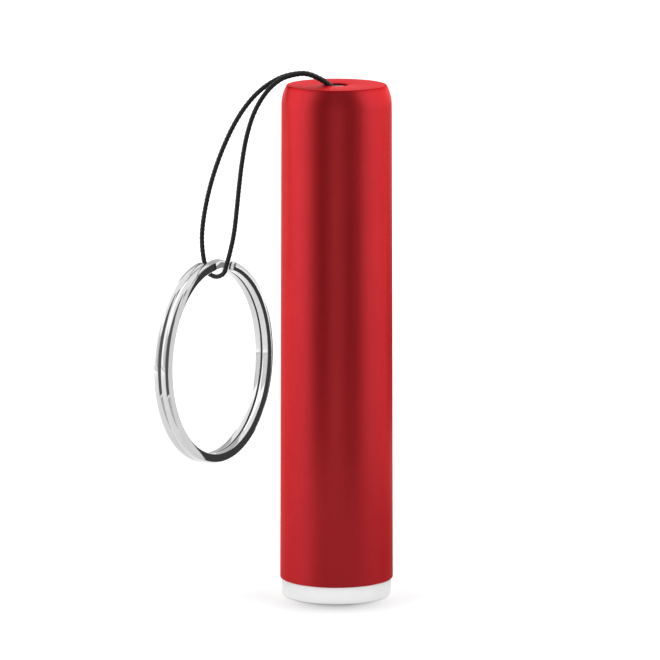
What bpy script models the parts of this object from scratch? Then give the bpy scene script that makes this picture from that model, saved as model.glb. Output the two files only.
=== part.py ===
"""Keychain flashlight: a drawn metal sleeve standing on its push head, with a cord loop and a split ring.

Lengths are in millimetres here and are turned into metres when a shape is made. The long axis is Z. The
origin is the middle of the head's front rim, which is what the flashlight stands on. Every piece that
moves has its origin on its own joint's axis.
"""

import math

import bmesh
import bpy
from mathutils import Vector

MM = 0.001
GAP = 0.05  # between two pieces that touch or slide

# Sleeve: a drawn cup, closed at the top, with a slight draft towards its mouth.
TOTAL_HEIGHT = 75.0
MOUTH_Z = 2.6
MOUTH_RADIUS = 8.26
SHOULDER_RADIUS = 7.98
SHOULDER_HEIGHT = 2.95
SHOULDER_ARC = 6.0
WALL = 0.23
CORD_HOLE_RADIUS = 1.7
CORD_HOLE_EDGE = 0.12
SLEEVE_SIDES = 48
INNER_SIDES = 32

# Push head: a translucent bezel that carries the lens, the reflector and the lamp, and slides in the mouth.
HEAD_RADIUS = MOUTH_RADIUS - WALL - GAP
HEAD_SHOULDER_Z = 5.0
NECK_RADIUS = 6.9
LIP_RADIUS = 7.4
LIP_Z = 9.4
HEAD_TOP_Z = 10.4
WINDOW_RADIUS = 5.6
HEAD_BORE = 6.15
INSERT_RADIUS = HEAD_BORE - 0.07
FRONT_LIP = 0.8
TRAVEL = 1.2

# Lamp parts inside the head, from the front to the back.
LENS_THICKNESS = 1.2
GASKET_WIRE = 0.27
REFLECTOR_BACK_Z = 8.6
REFLECTOR_WALL = 0.5
REFLECTOR_RIM = 5.45
REFLECTOR_THROAT = 1.75
LAMP_BOARD_Z = 9.2
LAMP_BOARD_THICKNESS = 1.0
LAMP_BASE_RADIUS = 1.7
LAMP_DOME_RADIUS = 1.3

# Click switch and its board, fixed above the head.
SWITCH_SIDE = 6.0
SWITCH_Z = 12.2
PLUNGER_RADIUS = 1.45
PLUNGER_CAP_RADIUS = 2.0
PLUNGER_TOP_Z = 13.4
SWITCH_BORE_TOP_Z = 15.9
DRIVER_BOARD_Z = 16.6
DRIVER_BOARD_THICKNESS = 1.2
DRIVER_BOARD_RADIUS = 7.0

# Cell bay: one AAA cell, 44.5 long over its nub, nub down.
CELL_RADIUS = 5.2
CELL_NUB_RADIUS = 1.9
CELL_NUB_HEIGHT = 0.9
CELL_Z = 22.0
CELL_LENGTH = 44.5
CARRIER_RADIUS = 7.6
CARRIER_SKIRT_Z = 11.9
CARRIER_FLOOR_Z = 20.5
CARRIER_FLOOR = 1.0
CARRIER_BORE = 5.45
CARRIER_TOP_Z = 68.3
STRIP_X = 7.1
STRIP_THICKNESS = 0.25
STRIP_WIDTH = 3.0
PLATE_Z = 68.75
PLATE_THICKNESS = 0.3

# Top plug, washer and knot that hold the cord in the sleeve.
PLUG_POCKET_RADIUS = 2.6
PLUG_POCKET_Z = 70.6
PLUG_TOP_Z = 74.15
WASHER_RADIUS = 3.4
WASHER_HOLE = 1.5
WASHER_THICKNESS = 0.4
KNOT_RADIUS = 1.3

# Split ring: two turns of flat wire, hanging on the cord in an upright plane turned about Z.
RING_CENTRE = (-17.71, -1.0, 34.7)
RING_YAW_DEG = 60.0
RING_TILT_DEG = -1.64
RING_OUTER_RADIUS = 14.85
RING_WIRE_WIDTH = 1.46
RING_WIRE_HEIGHT = 1.21
RING_WIRE_EDGE = 0.2
RING_PITCH = 1.29
RING_NEAR_END_DEG = 18.0
RING_FAR_END_DEG = -7.0
RING_STEP_DEG = 10.0

# Cord: one length of round cord, out of the hole, round under the ring's top and back into the hole.
CORD_DIAMETER = 0.72
CORD_STEP = 1.45
CORD_ROUTE = (
    (-0.10, 0.42, 74.22),
    (-0.62, 0.42, 74.62),
    (-1.12, 0.42, 75.00),
    (-1.60, 0.42, 75.37),
    (-2.60, 0.42, 75.94),
    (-3.90, 0.43, 76.47),
    (-4.95, 0.44, 76.62),
    (-6.65, 0.46, 76.40),
    (-7.85, 0.48, 76.05),
    (-8.95, 0.52, 75.52),
    (-10.60, 0.60, 74.42),
    (-12.45, 0.70, 72.60),
    (-14.30, 0.78, 69.97),
    (-16.05, 0.86, 66.50),
    (-17.70, 0.93, 62.10),
    (-18.85, 0.98, 57.70),
    (-19.47, 1.02, 53.60),
    (-19.48, 1.03, 51.10),
    (-19.16, 1.00, 48.85),
    (-18.68, 0.72, 47.50),
    (-17.54, 0.06, 46.95),
    (-16.40, -0.60, 47.50),
    (-15.92, -0.88, 48.85),
    (-15.30, -0.90, 51.20),
    (-14.82, -0.90, 53.60),
    (-14.42, -0.88, 57.00),
    (-14.06, -0.84, 60.50),
    (-13.62, -0.78, 64.00),
    (-12.98, -0.70, 67.50),
    (-12.00, -0.62, 70.70),
    (-10.80, -0.56, 73.00),
    (-9.40, -0.52, 74.75),
    (-7.90, -0.48, 75.88),
    (-6.55, -0.46, 76.36),
    (-4.95, -0.44, 76.62),
    (-3.90, -0.43, 76.47),
    (-2.60, -0.42, 75.94),
    (-1.60, -0.42, 75.37),
    (-1.12, -0.42, 75.00),
    (-0.10, -0.42, 74.22),
)


def clear_scene():
    for obj in list(bpy.data.objects):
        bpy.data.objects.remove(obj, do_unlink=True)


clear_scene()
PARTS = bpy.data.collections.new("keychain_flashlight")
CUTTERS = bpy.data.collections.new("cutters")
for group in (PARTS, CUTTERS):
    bpy.context.scene.collection.children.link(group)


def material(name, colour, roughness, metallic=0.0, alpha=1.0):
    made = bpy.data.materials.new(name)
    made.use_nodes = True
    shader = made.node_tree.nodes["Principled BSDF"]
    shader.inputs["Base Color"].default_value = (*colour, 1.0)
    shader.inputs["Roughness"].default_value = roughness
    shader.inputs["Metallic"].default_value = metallic
    shader.inputs["Alpha"].default_value = alpha
    return made


def add(name, data, look, origin=(0.0, 0.0, 0.0)):
    """A part's object, with its origin given in millimetres."""
    obj = bpy.data.objects.new(name, data)
    obj.location = Vector(origin) * MM
    obj.data.materials.append(look)
    PARTS.objects.link(obj)
    return obj


def turned(name, profile, look, sides=INNER_SIDES, origin=(0.0, 0.0, 0.0)):
    """A solid of revolution about Z. The (radius, height) profile runs down the outer side, top to bottom.

    A profile that starts and ends on the axis is left open, any other closes on itself.
    """
    mesh = bpy.data.meshes.new(name)
    points = [(radius * MM, 0.0, height * MM) for radius, height in profile]
    edges = [(i, i + 1) for i in range(len(points) - 1)]
    if profile[0][0] > 0.0:
        edges.append((len(points) - 1, 0))
    mesh.from_pydata(points, edges, [])
    obj = add(name, mesh, look, origin)
    screw = obj.modifiers.new("turn", "SCREW")
    screw.axis = "Z"
    screw.angle = math.tau
    screw.steps = sides
    screw.render_steps = sides
    screw.use_merge_vertices = True
    screw.merge_threshold = 1e-6
    screw.use_smooth_shade = True
    return obj


def box_mesh(name, size):
    mesh = bpy.data.meshes.new(name)
    form = bmesh.new()
    bmesh.ops.create_cube(form, size=1.0)
    bmesh.ops.scale(form, vec=Vector(size) * MM, verts=form.verts)
    form.to_mesh(mesh)
    form.free()
    return mesh


def box(name, size, centre, look, edge=0.0):
    obj = add(name, box_mesh(name, size), look, centre)
    if edge:
        bevel = obj.modifiers.new("edges", "BEVEL")
        bevel.width = edge * MM
        bevel.segments = 2
        bevel.limit_method = "ANGLE"
    return obj


def cutter(name, mesh, centre):
    obj = bpy.data.objects.new(name, mesh)
    obj.location = Vector(centre) * MM
    obj.display_type = "WIRE"
    obj.hide_render = True
    CUTTERS.objects.link(obj)
    return obj


def cylinder_mesh(name, radius, height, sides=INNER_SIDES):
    mesh = bpy.data.meshes.new(name)
    form = bmesh.new()
    bmesh.ops.create_cone(
        form,
        cap_ends=True,
        segments=sides,
        radius1=radius * MM,
        radius2=radius * MM,
        depth=height * MM,
    )
    form.to_mesh(mesh)
    form.free()
    return mesh


def cut(obj, tool):
    boolean = obj.modifiers.new("cut", "BOOLEAN")
    boolean.operation = "DIFFERENCE"
    boolean.solver = "EXACT"
    boolean.object = tool


def wire(name, points, radius, look, origin=(0.0, 0.0, 0.0), resolution=2):
    """A round wire along the points, which are measured from its origin."""
    curve = bpy.data.curves.new(name, "CURVE")
    curve.dimensions = "3D"
    curve.bevel_depth = radius * MM
    curve.bevel_resolution = resolution
    curve.use_fill_caps = True
    spline = curve.splines.new("POLY")
    spline.points.add(len(points) - 1)
    for at, place in zip(spline.points, points):
        at.co = (*(Vector(place) * MM), 1.0)
    return add(name, curve, look, origin)


def smooth_through(route, step):
    """Points about one step apart on a centripetal Catmull-Rom curve through the route."""
    route = [Vector(place) for place in route]
    route = [2 * route[0] - route[1], *route, 2 * route[-1] - route[-2]]
    fine = []
    for before, start, end, after in zip(route, route[1:], route[2:], route[3:]):
        knots = [0.0]
        for near, far in ((before, start), (start, end), (end, after)):
            knots.append(knots[-1] + math.sqrt((far - near).length))
        for k in range(40):
            t = knots[1] + (knots[2] - knots[1]) * k / 40
            a = [
                lerp(p, q, (t - knots[i]) / (knots[i + 1] - knots[i]))
                for i, (p, q) in enumerate(((before, start), (start, end), (end, after)))
            ]
            b = [
                lerp(p, q, (t - knots[i]) / (knots[i + 2] - knots[i]))
                for i, (p, q) in enumerate(zip(a, a[1:]))
            ]
            fine.append(lerp(b[0], b[1], (t - knots[1]) / (knots[2] - knots[1])))
    fine.append(route[-2])
    return spaced(fine, step)


def lerp(start, end, share):
    return start + (end - start) * share


def spaced(fine, step):
    """The polyline read again at even distances close to the step."""
    lengths = [0.0]
    for near, far in zip(fine, fine[1:]):
        lengths.append(lengths[-1] + (far - near).length)
    count = round(lengths[-1] / step)
    found = []
    i = 0
    for k in range(count + 1):
        goal = lengths[-1] * k / count
        while i < len(fine) - 2 and lengths[i + 1] < goal:
            i += 1
        share = (goal - lengths[i]) / (lengths[i + 1] - lengths[i])
        found.append(lerp(fine[i], fine[i + 1], min(share, 1.0)))
    return found


def spring_points(low, high, turns, wire_radius, low_radius, high_radius, per_turn=12):
    """A compression spring between two heights, with one flat dead turn shared between its two ends."""
    count = round(turns * per_turn)
    bottom = low + wire_radius
    top = high - wire_radius
    points = []
    for k in range(count + 1):
        share = k / count
        rise = min(max((share * turns - 0.5) / (turns - 1.0), 0.0), 1.0)
        radius = lerp(low_radius, high_radius, rise)
        angle = math.tau * turns * share
        points.append((radius * math.cos(angle), radius * math.sin(angle), lerp(bottom, top, rise)))
    return points


def sleeve_radius(height):
    """Outer radius of the sleeve at a height: a slight draft, then the arc of its shoulder."""
    start = TOTAL_HEIGHT - SHOULDER_HEIGHT
    if height <= start:
        return lerp(MOUTH_RADIUS, SHOULDER_RADIUS, (height - MOUTH_Z) / (start - MOUTH_Z))
    return SHOULDER_RADIUS - SHOULDER_ARC + math.sqrt(SHOULDER_ARC**2 - (height - start) ** 2)


def make_shell(look):
    start = TOTAL_HEIGHT - SHOULDER_HEIGHT
    rows = 7
    top = TOTAL_HEIGHT - 0.06
    heights = [lerp(top, start, k / rows) for k in range(rows + 1)]
    outer = [(sleeve_radius(height), height) for height in (*heights, 38.0, MOUTH_Z)]
    inner = [(radius - WALL, min(height, TOTAL_HEIGHT - WALL)) for radius, height in reversed(outer[1:])]
    rim = [
        (CORD_HOLE_RADIUS, TOTAL_HEIGHT - WALL),
        (CORD_HOLE_RADIUS, TOTAL_HEIGHT - CORD_HOLE_EDGE),
        (CORD_HOLE_RADIUS + CORD_HOLE_EDGE, TOTAL_HEIGHT),
    ]
    crown = [(sleeve_radius(top) - 0.1, TOTAL_HEIGHT)]
    turned("shell", crown + outer + inner + rim, look, SLEEVE_SIDES)


def make_head(look):
    edge = 0.3
    profile = [
        (LIP_RADIUS - edge, HEAD_TOP_Z),
        (LIP_RADIUS, HEAD_TOP_Z - edge),
        (LIP_RADIUS, LIP_Z),
        (NECK_RADIUS, LIP_Z),
        (NECK_RADIUS, HEAD_SHOULDER_Z),
        (HEAD_RADIUS - edge, HEAD_SHOULDER_Z),
        (HEAD_RADIUS, HEAD_SHOULDER_Z - edge),
        (HEAD_RADIUS, edge),
        (HEAD_RADIUS - 0.1, 0.1),
        (HEAD_RADIUS - edge, 0.0),
        (WINDOW_RADIUS + edge, 0.0),
        (WINDOW_RADIUS, edge),
        (WINDOW_RADIUS, FRONT_LIP),
        (HEAD_BORE, FRONT_LIP),
        (HEAD_BORE, HEAD_TOP_Z),
    ]
    turned("head_bezel", profile, look, SLEEVE_SIDES)


def make_lamp(clear, rubber, mirror, ceramic, board):
    lens_low = FRONT_LIP + GAP
    lens_high = lens_low + LENS_THICKNESS
    turned(
        "lens",
        [(0.0, lens_high), (INSERT_RADIUS, lens_high), (INSERT_RADIUS, lens_low), (0.0, lens_low)],
        clear,
    )
    ring_z = lens_high + GAP + GASKET_WIRE
    ring_radius = INSERT_RADIUS - GASKET_WIRE - GAP
    gasket = [
        (ring_radius + GASKET_WIRE * math.sin(a), ring_z + GASKET_WIRE * math.cos(a))
        for a in (math.tau * k / 8 for k in range(8))
    ]
    turned("lens_gasket", gasket, rubber)
    make_reflector(mirror, ring_z + GASKET_WIRE + GAP)
    lamp_top = LAMP_BOARD_Z - GAP
    lamp_step = REFLECTOR_BACK_Z + GAP
    dome = [
        (LAMP_DOME_RADIUS * math.cos(a), lamp_step - LAMP_DOME_RADIUS * math.sin(a))
        for a in (math.tau / 4 * k / 5 for k in range(5))
    ]
    base = [(0.0, lamp_top), (LAMP_BASE_RADIUS, lamp_top), (LAMP_BASE_RADIUS, lamp_step)]
    turned("led", base + dome + [(0.0, lamp_step - LAMP_DOME_RADIUS)], ceramic)
    board_top = LAMP_BOARD_Z + LAMP_BOARD_THICKNESS
    turned(
        "led_board",
        [
            (0.0, board_top),
            (INSERT_RADIUS, board_top),
            (INSERT_RADIUS, LAMP_BOARD_Z),
            (0.0, LAMP_BOARD_Z),
        ],
        board,
    )


def make_reflector(look, rim_z):
    """A parabolic bowl, open at both ends, with a flange at its rim."""
    rows = 8
    depth = REFLECTOR_BACK_Z - rim_z
    four_focus = (REFLECTOR_RIM**2 - REFLECTOR_THROAT**2) / depth
    bowl = []
    for k in range(rows + 1):
        radius = lerp(REFLECTOR_RIM, REFLECTOR_THROAT, k / rows)
        bowl.append((radius, REFLECTOR_BACK_Z - (radius**2 - REFLECTOR_THROAT**2) / four_focus))
    flange = 0.6
    outside = [
        (radius + REFLECTOR_WALL, height)
        for radius, height in reversed(bowl)
        if height > rim_z + flange
    ]
    foot = outside[-1][0]
    edge = [(foot, rim_z + flange), (INSERT_RADIUS, rim_z + flange), (INSERT_RADIUS, rim_z)]
    turned("reflector", outside + edge + bowl, look)


def make_head_fixings(plastic, steel, red, black):
    """What stays in the sleeve round the head, and the spring and leads between the two."""
    low = HEAD_SHOULDER_Z + TRAVEL + 0.15
    high = LIP_Z - GAP
    outer = sleeve_radius(high) - WALL - 0.07
    turned(
        "retaining_ring",
        [(outer, high), (outer, low), (NECK_RADIUS + GAP, low), (NECK_RADIUS + GAP, high)],
        plastic,
        SLEEVE_SIDES,
    )
    bottom = LAMP_BOARD_Z + LAMP_BOARD_THICKNESS + GAP
    top = DRIVER_BOARD_Z - GAP
    coil = spring_points(bottom, top, 4.5, 0.25, 5.35, 5.35)
    wire("head_spring", coil, 0.25, steel)
    for name, side, look in (("lead_positive", 1.0, red), ("lead_negative", -1.0, black)):
        middle = (bottom + top) / 2
        route = [
            (4.1 * side, 0.0, bottom),
            (4.1 * side, 0.0, bottom + 1.0),
            (4.1 * side, 0.6 * side, middle),
            (4.1 * side, 0.0, top - 1.0),
            (4.1 * side, 0.0, top),
        ]
        wire(name, smooth_through(route, 0.7), 0.25, look)


def make_switch(black, white, steel):
    foot = LAMP_BOARD_Z + LAMP_BOARD_THICKNESS + GAP
    cap_top = foot + 0.6
    turned(
        "switch_plunger",
        [
            (0.0, PLUNGER_TOP_Z),
            (PLUNGER_RADIUS, PLUNGER_TOP_Z),
            (PLUNGER_RADIUS, cap_top),
            (PLUNGER_CAP_RADIUS, cap_top),
            (PLUNGER_CAP_RADIUS, foot),
            (0.0, foot),
        ],
        white,
        24,
    )
    coil = spring_points(PLUNGER_TOP_Z + GAP, SWITCH_BORE_TOP_Z - GAP, 3.0, 0.13, 1.15, 1.15, 10)
    wire("switch_spring", coil, 0.13, steel, resolution=1)
    height = DRIVER_BOARD_Z - GAP - SWITCH_Z
    size = (SWITCH_SIDE, SWITCH_SIDE, height)
    body = box("switch_body", size, (0.0, 0.0, SWITCH_Z + height / 2), black, 0.3)
    depth = SWITCH_BORE_TOP_Z - SWITCH_Z
    bore = cylinder_mesh("switch_bore", PLUNGER_RADIUS + 2 * GAP, depth + 1.0, 24)
    cut(body, cutter("switch_bore", bore, (0.0, 0.0, SWITCH_BORE_TOP_Z - (depth + 1.0) / 2)))


def make_driver(board, ferrite, epoxy, tan, brass):
    top = DRIVER_BOARD_Z + DRIVER_BOARD_THICKNESS
    turned(
        "driver_board",
        [
            (0.0, top),
            (DRIVER_BOARD_RADIUS, top),
            (DRIVER_BOARD_RADIUS, DRIVER_BOARD_Z),
            (0.0, DRIVER_BOARD_Z),
        ],
        board,
        SLEEVE_SIDES,
    )
    on_board = top + GAP
    drum = [
        (0.0, 2.1),
        (1.6, 2.1),
        (1.6, 1.7),
        (1.25, 1.5),
        (1.25, 0.6),
        (1.6, 0.4),
        (1.6, 0.0),
        (0.0, 0.0),
    ]
    turned("boost_inductor", drum, ferrite, 20, (-4.2, 0.0, on_board))
    box("boost_chip", (2.6, 3.0, 1.0), (4.0, 1.0, on_board + 0.5), epoxy, 0.12)
    box("capacitor", (2.0, 1.25, 1.2), (0.4, -4.2, on_board + 0.6), tan, 0.12)
    floor = CARRIER_FLOOR_Z + CARRIER_FLOOR
    stud_top = CELL_Z - GAP
    turned(
        "positive_contact",
        [
            (0.0, stud_top),
            (2.8, stud_top),
            (3.0, stud_top - 0.15),
            (3.0, floor + GAP),
            (1.6, floor + GAP),
            (1.6, on_board),
            (0.0, on_board),
        ],
        brass,
    )


def make_cell_bay(plastic, cell, steel, brass):
    step = DRIVER_BOARD_Z + DRIVER_BOARD_THICKNESS + 0.1
    skirt = DRIVER_BOARD_RADIUS + 0.08
    carrier = turned(
        "inner_carrier",
        [
            (CARRIER_RADIUS, CARRIER_TOP_Z),
            (CARRIER_RADIUS, CARRIER_SKIRT_Z),
            (skirt, CARRIER_SKIRT_Z),
            (skirt, step),
            (6.5, step),
            (6.5, CARRIER_FLOOR_Z),
            (1.8, CARRIER_FLOOR_Z),
            (1.8, CARRIER_FLOOR_Z + CARRIER_FLOOR),
            (CARRIER_BORE, CARRIER_FLOOR_Z + CARRIER_FLOOR),
            (CARRIER_BORE, CARRIER_TOP_Z),
        ],
        plastic,
        SLEEVE_SIDES,
    )
    groove = box_mesh("strip_groove", (2.0, STRIP_WIDTH + 0.4, 60.0))
    cut(carrier, cutter("strip_groove", groove, (STRIP_X - 0.2 + 1.0, 0.0, 40.0)))
    nub = CELL_Z + CELL_NUB_HEIGHT
    top = CELL_Z + CELL_LENGTH
    turned(
        "battery",
        [
            (0.0, top - 0.2),
            (4.4, top - 0.2),
            (4.5, top),
            (CELL_RADIUS - 0.2, top),
            (CELL_RADIUS, top - 0.3),
            (CELL_RADIUS, nub + 0.4),
            (CELL_RADIUS - 0.3, nub),
            (CELL_NUB_RADIUS, nub),
            (CELL_NUB_RADIUS, CELL_Z + 0.2),
            (CELL_NUB_RADIUS - 0.2, CELL_Z),
            (0.0, CELL_Z),
        ],
        cell,
    )
    coil = spring_points(top - 0.2 + GAP, PLATE_Z - GAP, 3.5, 0.22, 3.2, 4.6)
    wire("negative_spring", coil, 0.22, steel)
    plate_top = PLATE_Z + PLATE_THICKNESS
    turned(
        "negative_contact",
        [(0.0, plate_top), (7.3, plate_top), (7.3, PLATE_Z), (0.0, PLATE_Z)],
        brass,
        SLEEVE_SIDES,
    )
    make_strip(brass)


def make_strip(look):
    """A bent brass strip in the carrier's groove, from the negative plate down to the driver board's edge."""
    out = STRIP_X + STRIP_THICKNESS
    high = PLATE_Z - GAP
    foot = high - STRIP_THICKNESS
    low = DRIVER_BOARD_Z + 0.1
    outline = [(5.7, high), (out, high), (out, low), (STRIP_X, low), (STRIP_X, foot), (5.7, foot)]
    curve = bpy.data.curves.new("ground_strip", "CURVE")
    curve.dimensions = "2D"
    curve.fill_mode = "BOTH"
    curve.extrude = STRIP_WIDTH / 2 * MM
    spline = curve.splines.new("POLY")
    spline.use_cyclic_u = True
    spline.points.add(len(outline) - 1)
    for at, (x, z) in zip(spline.points, outline):
        at.co = (x * MM, z * MM, 0.0, 1.0)
    strip = add("ground_strip", curve, look)
    strip.rotation_euler = (math.pi / 2, 0.0, 0.0)


def make_cord_anchor(plastic, steel):
    bottom = PLATE_Z + PLATE_THICKNESS + GAP
    shoulder = TOTAL_HEIGHT - SHOULDER_HEIGHT
    turned(
        "end_plug",
        [
            (7.1, PLUG_TOP_Z),
            (CARRIER_RADIUS, shoulder),
            (CARRIER_RADIUS, bottom),
            (0.0, bottom),
            (0.0, PLUG_POCKET_Z),
            (PLUG_POCKET_RADIUS, PLUG_POCKET_Z),
            (PLUG_POCKET_RADIUS, PLUG_TOP_Z),
        ],
        plastic,
        SLEEVE_SIDES,
    )
    high = TOTAL_HEIGHT - WALL - 2 * GAP
    low = high - WASHER_THICKNESS
    turned(
        "cord_washer",
        [(WASHER_RADIUS, high), (WASHER_RADIUS, low), (WASHER_HOLE, low), (WASHER_HOLE, high)],
        steel,
    )


def make_cord(look):
    mesh = bpy.data.meshes.new("cord_knot")
    form = bmesh.new()
    bmesh.ops.create_uvsphere(form, u_segments=16, v_segments=10, radius=KNOT_RADIUS * MM)
    form.to_mesh(mesh)
    form.free()
    add("cord_knot", mesh, look, (0.0, 0.0, PLUG_TOP_Z - KNOT_RADIUS))
    wire("cord", smooth_through(CORD_ROUTE, CORD_STEP), CORD_DIAMETER / 2, look)


def ring_path():
    """Centre line of the split ring's wire in its own plane, with its crossover at the top.

    The far turn starts at the far end and runs round to the near end's side, the crossover carries the wire
    over to the near turn, and the near turn runs round to its own end.
    """
    radius = RING_OUTER_RADIUS - RING_WIRE_WIDTH / 2
    start = RING_FAR_END_DEG
    cross = RING_NEAR_END_DEG - 360.0
    landed = RING_FAR_END_DEG - 360.0
    end = RING_NEAR_END_DEG - 720.0
    stretches = ((start, cross), (cross, landed), (landed, end))
    angles = [start]
    for first, last in stretches:
        count = max(round((first - last) / RING_STEP_DEG), 4)
        angles += [lerp(first, last, k / count) for k in range(1, count + 1)]
    points = []
    for degrees in angles:
        share = min(max((cross - degrees) / (cross - landed), 0.0), 1.0)
        height = RING_PITCH * (share * share * (3.0 - 2.0 * share) - 0.5)
        turn = math.radians(degrees)
        points.append((radius * math.sin(turn), radius * math.cos(turn), height))
    return points


def make_split_ring(look):
    half_width = RING_WIRE_WIDTH / 2
    half_height = RING_WIRE_HEIGHT / 2
    quarter = [(half_width, half_height - RING_WIRE_EDGE), (half_width - RING_WIRE_EDGE, half_height)]
    section = (
        quarter
        + [(-x, y) for x, y in reversed(quarter)]
        + [(-x, -y) for x, y in quarter]
        + [(x, -y) for x, y in reversed(quarter)]
    )
    profile = bpy.data.curves.new("ring_wire_section", "CURVE")
    profile.dimensions = "2D"
    spline = profile.splines.new("POLY")
    spline.use_cyclic_u = True
    spline.points.add(len(section) - 1)
    for at, (x, y) in zip(spline.points, reversed(section)):
        at.co = (x * MM, y * MM, 0.0, 1.0)
    guide = bpy.data.objects.new("ring_wire_section", profile)
    guide.hide_render = True
    CUTTERS.objects.link(guide)
    curve = bpy.data.curves.new("split_ring", "CURVE")
    curve.dimensions = "3D"
    curve.twist_mode = "Z_UP"
    curve.bevel_mode = "OBJECT"
    curve.bevel_object = guide
    curve.use_fill_caps = True
    points = ring_path()
    spline = curve.splines.new("POLY")
    spline.points.add(len(points) - 1)
    for at, place in zip(spline.points, points):
        at.co = (*(Vector(place) * MM), 1.0)
    ring = add("split_ring", curve, look, RING_CENTRE)
    ring.rotation_euler = (math.radians(90.0 + RING_TILT_DEG), 0.0, math.radians(RING_YAW_DEG))


def main():
    red = material("red_anodised", (0.56, 0.03, 0.04), 0.35, 0.9)
    white = material("white_translucent", (0.85, 0.85, 0.84), 0.4)
    clear = material("clear_lens", (0.95, 0.97, 0.98), 0.05, 0.0, 0.35)
    rubber = material("black_rubber", (0.02, 0.02, 0.02), 0.8)
    mirror = material("mirror", (0.9, 0.9, 0.9), 0.05, 1.0)
    ceramic = material("lamp", (0.9, 0.85, 0.45), 0.3)
    board = material("board", (0.03, 0.25, 0.1), 0.4)
    black = material("black_plastic", (0.03, 0.03, 0.03), 0.5)
    ivory = material("ivory_plastic", (0.75, 0.73, 0.65), 0.5)
    steel = material("spring_steel", (0.6, 0.6, 0.62), 0.3, 1.0)
    lead_red = material("red_lead", (0.6, 0.03, 0.03), 0.5)
    lead_black = material("black_lead", (0.02, 0.02, 0.02), 0.5)
    ferrite = material("ferrite", (0.08, 0.08, 0.085), 0.6)
    epoxy = material("epoxy", (0.02, 0.02, 0.022), 0.45)
    tan = material("capacitor_ceramic", (0.55, 0.42, 0.28), 0.5)
    brass = material("brass", (0.8, 0.6, 0.25), 0.3, 1.0)
    cell = material("cell_wrap", (0.12, 0.2, 0.4), 0.35, 0.3)
    chrome = material("chrome", (0.85, 0.85, 0.86), 0.1, 1.0)
    cord = material("black_cord", (0.015, 0.015, 0.015), 0.7)
    make_shell(red)
    make_head(white)
    make_lamp(clear, rubber, mirror, ceramic, board)
    make_head_fixings(black, steel, lead_red, lead_black)
    make_switch(black, ivory, steel)
    make_driver(board, ferrite, epoxy, tan, brass)
    make_cell_bay(black, cell, steel, brass)
    make_cord_anchor(black, steel)
    make_cord(cord)
    make_split_ring(chrome)


main()
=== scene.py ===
"""Looks of the keychain flashlight, built around its CAD frame.

Lengths are in millimetres here and are turned into metres when a mesh is made. The frame has +Z up, the
flashlight stands on its head at the origin, and the cord and the split ring hang on its -X side.
"""

import math
from math import cos, radians, sin, sqrt

import bmesh
import bpy
import numpy as np
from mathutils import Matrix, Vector


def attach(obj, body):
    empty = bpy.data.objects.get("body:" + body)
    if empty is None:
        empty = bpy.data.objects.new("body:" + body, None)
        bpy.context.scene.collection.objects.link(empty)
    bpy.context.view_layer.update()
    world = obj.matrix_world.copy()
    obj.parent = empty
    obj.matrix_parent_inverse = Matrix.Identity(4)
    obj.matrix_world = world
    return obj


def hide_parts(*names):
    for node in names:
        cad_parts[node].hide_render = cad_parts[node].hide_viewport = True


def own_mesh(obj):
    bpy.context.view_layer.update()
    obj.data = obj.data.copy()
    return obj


MM = 0.001
TAU = math.tau

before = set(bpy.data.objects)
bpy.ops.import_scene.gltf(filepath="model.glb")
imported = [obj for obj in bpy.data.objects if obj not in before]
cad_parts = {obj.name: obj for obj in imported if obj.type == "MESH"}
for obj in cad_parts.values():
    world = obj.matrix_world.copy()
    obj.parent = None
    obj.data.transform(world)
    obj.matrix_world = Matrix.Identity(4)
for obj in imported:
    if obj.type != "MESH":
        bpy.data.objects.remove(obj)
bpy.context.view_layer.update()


# ---- node materials


def new_material(name):
    """A node material, its Principled shader and a function that adds a linked node."""
    made = bpy.data.materials.new(name)
    made.use_nodes = True
    tree = made.node_tree
    shader = tree.nodes["Principled BSDF"]

    def node(kind, inputs=None, **settings):
        added = tree.nodes.new("ShaderNode" + kind)
        for key, value in settings.items():
            setattr(added, key, value)
        for key, value in (inputs or {}).items():
            if isinstance(value, bpy.types.NodeSocket):
                tree.links.new(value, added.inputs[key])
            else:
                added.inputs[key].default_value = value
        return added

    return made, shader, node, tree.links.new


def ramp(node, value, low, high, first, last):
    """A value mapped from low..high to first..last, smoothly."""
    limits = {"From Min": low, "From Max": high, "To Min": first, "To Max": last}
    return node("MapRange", {"Value": value, **limits}, interpolation_type="SMOOTHSTEP").outputs["Result"]


def calc(node, operation, first, second=0.5, **settings):
    """The result of a Math node."""
    return node("Math", {0: first, 1: second}, operation=operation, **settings).outputs["Value"]


def noise(node, place, size, detail=2.0):
    """A noise of the given size in millimetres."""
    return node("TexNoise", {"Vector": place, "Scale": 1.0 / (size * MM), "Detail": detail}).outputs["Fac"]


def blend_colours(node, link, shader, factor, first, last):
    """The base colour, from first to last as factor goes from 0 to 1."""
    tone = node("Mix", data_type="RGBA")
    link(factor, tone.inputs["Factor"])
    tone.inputs["A"].default_value = (*first, 1.0)
    tone.inputs["B"].default_value = (*last, 1.0)
    link(tone.outputs["Result"], shader.inputs["Base Color"])


def raise_relief(node, link, shader, height, depth):
    """Relief of the given depth in millimetres."""
    bump = node("Bump", {"Height": height, "Distance": depth * MM, "Strength": 1.0})
    link(bump.outputs["Normal"], shader.inputs["Normal"])


def spread(node, value, first, last):
    """A noise's useful range, 0.3 to 0.7, mapped to first..last."""
    return ramp(node, value, 0.3, 0.7, first, last)


def settle(shader, **values):
    """Sets the shader's own sockets, with their names' spaces written as underscores."""
    for key, value in values.items():
        shader.inputs[key.replace("_", " ")].default_value = value


def clear_where(made, node, link, clear, shown):
    """The material is clear where a value is 1, and shows the given shader elsewhere."""
    both = node("MixShader", {0: clear, 1: shown, 2: node("BsdfTransparent").outputs["BSDF"]})
    link(both.outputs["Shader"], made.node_tree.nodes["Material Output"].inputs["Surface"])


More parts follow.
